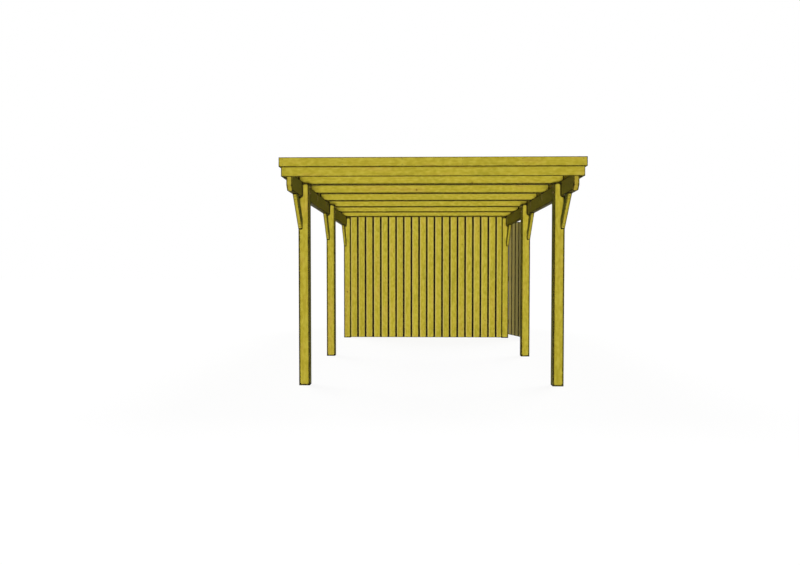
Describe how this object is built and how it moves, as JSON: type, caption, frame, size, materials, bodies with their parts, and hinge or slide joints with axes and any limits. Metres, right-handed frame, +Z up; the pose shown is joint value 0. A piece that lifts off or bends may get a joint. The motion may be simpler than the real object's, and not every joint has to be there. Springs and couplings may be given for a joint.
{
  "type": "timber carport with store room",
  "caption": "Open timber carport on notched posts, with braces, rafters and double fascia, closed at the back by a boarded store room with a hinged side door.",
  "frame": {"origin": "middle of the foot of the front left post, on the ground", "axes": "+X to the right seen from the open front, +Y back into the carport, +Z up"},
  "size_m": [3.3384, 8.2261, 2.4204],
  "materials": {
    "framing_timber": "planed softwood, pressure treated yellow green, satin",
    "fascia_board": "planed softwood board, pressure treated, satin",
    "wall_board": "planed softwood board, pressure treated, satin",
    "roof_sheet": "coated trapezoidal steel sheet, satin grey",
    "gutter_zinc": "folded galvanised sheet",
    "hinge_steel": "galvanised steel",
    "black_steel": "black powder coat, satin"
  },
  "bodies": {
    "carport": {"post_front_left": "framing_timber", "post_front_right": "framing_timber", "post_middle_left": "framing_timber", "post_middle_right": "framing_timber", "post_store_left": "framing_timber", "post_store_right": "framing_timber", "post_rear_left": "framing_timber", "post_rear_right": "framing_timber", "beam_left": "framing_timber", "beam_right": "framing_timber", "brace_front_left": "framing_timber", "brace_front_right": "framing_timber", "brace_middle_left": "framing_timber", "brace_middle_right": "framing_timber", "brace_store_left": "framing_timber", "brace_store_right": "framing_timber", "rafter_1": "framing_timber", "rafter_2": "framing_timber", "rafter_3": "framing_timber", "rafter_4": "framing_timber", "rafter_5": "framing_timber", "rafter_6": "framing_timber", "rafter_7": "framing_timber", "rafter_8": "framing_timber", "rafter_9": "framing_timber", "rafter_10": "framing_timber", "lower_fascia_front": "fascia_board", "lower_fascia_rear": "fascia_board", "lower_fascia_left": "fascia_board", "lower_fascia_right": "fascia_board", "upper_fascia_front": "fascia_board", "upper_fascia_rear": "fascia_board", "upper_fascia_left": "fascia_board", "upper_fascia_right": "fascia_board", "roof_sheet": "roof_sheet", "edge_flashings": "roof_sheet", "gutter": "gutter_zinc", "downpipe": "gutter_zinc", "downpipe_clips": "gutter_zinc", "store_front_wall": "wall_board", "store_rear_wall": "wall_board", "store_left_wall": "wall_board", "store_corner_wall": "wall_board", "store_right_wall": "wall_board", "wall_rails": "framing_timber", "hinge_stud": "framing_timber", "door_stud": "framing_timber", "hinges_on_post": "hinge_steel"},
    "door": {"door_boards": "wall_board", "door_ledges": "framing_timber", "door_braces": "framing_timber", "door_pull": "black_steel", "hinges_on_door": "hinge_steel"}
  },
  "joints": [
    {"name": "door_hinge", "type": "hinge", "parent": "carport", "child": "door", "pos_m": [2.912, 5.23, 1.04], "axis": [0, 0, -1], "range_deg": [-161, 17]}
  ]
}
